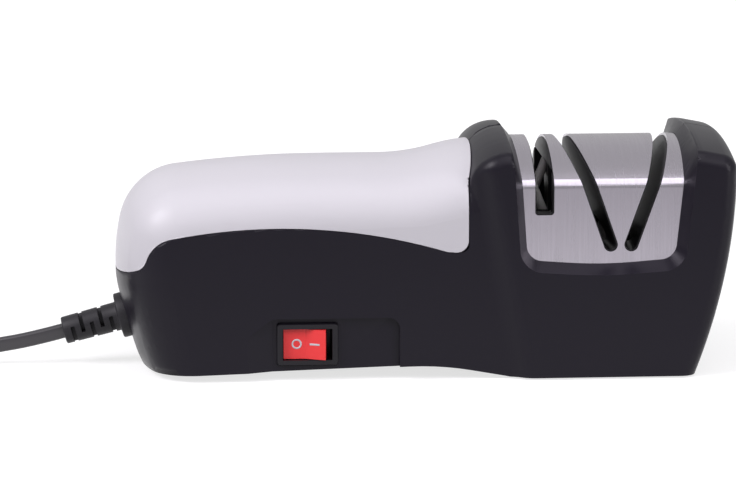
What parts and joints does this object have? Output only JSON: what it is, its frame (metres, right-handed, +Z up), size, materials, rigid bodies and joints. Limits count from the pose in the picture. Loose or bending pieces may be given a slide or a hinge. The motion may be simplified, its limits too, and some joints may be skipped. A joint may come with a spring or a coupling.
{
  "type": "electric knife sharpener",
  "caption": "Table-top electric knife sharpener: motor in the handle-shaped body, driven wheel under two slanted slots, crossed rods in an upright slot, rocker switch, cord with coil and plug.",
  "frame": {"origin": "on the table under the middle of the housing's bounding box, cord not counted", "axes": "+X runs from the cord end to the head with the slots, -Y faces the user (switch side), +Z up"},
  "size_m": [0.3401, 0.1157, 0.0814],
  "materials": {
    "black_plastic": "semi-gloss moulded plastic",
    "pale_plastic": "semi-gloss moulded plastic, pale lavender grey",
    "brushed_steel": "stainless, brushed upright",
    "black_matte": "matte",
    "pale_ceramic": "fired ceramic, matte",
    "dark_ceramic": "fired ceramic, matte",
    "zinc": "zinc plated",
    "bright_steel": "ground steel",
    "hub_aluminium": "turned",
    "abrasive": "bonded abrasive grain",
    "grey_plastic": "moulded, matte",
    "bronze": "sintered bronze",
    "magnet": "ferrite",
    "copper": "copper, enamelled",
    "carbon": "carbon",
    "black_gloss": "glossy",
    "red_plastic": "glossy red",
    "brass_tin": "tinned brass",
    "board_green": "solder mask",
    "capacitor_blue": "shrink sleeve",
    "lead_red": "wire insulation",
    "cord_black": "soft vinyl, satin",
    "soft_black": "soft vinyl, matte",
    "foot_rubber": "matte rubber"
  },
  "bodies": {
    "housing": {"front_housing": "black_plastic", "rear_housing": "black_plastic", "top_cover": "pale_plastic", "steel_sleeve": "brushed_steel", "slot_guide": "black_matte", "ceramic_rod_front": "pale_ceramic", "ceramic_rod_rear": "dark_ceramic", "rod_carrier": "black_matte", "carrier_screws": "zinc", "bearing_outer": "bright_steel", "bearing_bracket_left": "grey_plastic", "bearing_bracket_right": "grey_plastic", "bracket_screws": "zinc", "motor_can": "zinc", "motor_bushes": "bronze", "motor_end_bell": "grey_plastic", "motor_magnets": "magnet", "motor_brushes": "carbon", "switch_body": "black_gloss", "switch_terminals": "brass_tin", "circuit_board": "board_green", "rectifier": "black_gloss", "capacitor": "capacitor_blue", "mains_leads": "cord_black", "motor_leads": "lead_red", "strain_relief": "soft_black", "cord_tail": "cord_black", "cord_clamp": "grey_plastic", "clamp_screws": "zinc", "power_cord": "cord_black", "cord_coil": "cord_black", "mains_plug": "soft_black", "plug_pins": "brass_tin", "rubber_feet": "foot_rubber", "housing_screws": "zinc"},
    "rotor": {"spindle": "bright_steel", "wheel_hub": "hub_aluminium", "wheel_ring_left": "abrasive", "wheel_ring_right": "abrasive", "wheel_washers": "zinc", "wheel_nuts": "zinc", "bearing_inner": "bright_steel", "shaft_coupling": "hub_aluminium", "motor_shaft": "bright_steel", "armature_core": "zinc", "armature_windings": "copper", "commutator": "copper", "motor_fan": "grey_plastic"},
    "rocker": {"switch_rocker": "red_plastic"}
  },
  "joints": [
    {"name": "wheel_spin", "type": "hinge", "parent": "housing", "child": "rotor", "pos_m": [0.0658, 0, 0.031], "axis": [1, 0, 0], "continuous": true},
    {"name": "rocker_tilt", "type": "hinge", "parent": "housing", "child": "rocker", "pos_m": [-0.0407, -0.029, 0.0125], "axis": [0, 0, 1], "range_deg": [0, 26]}
  ]
}
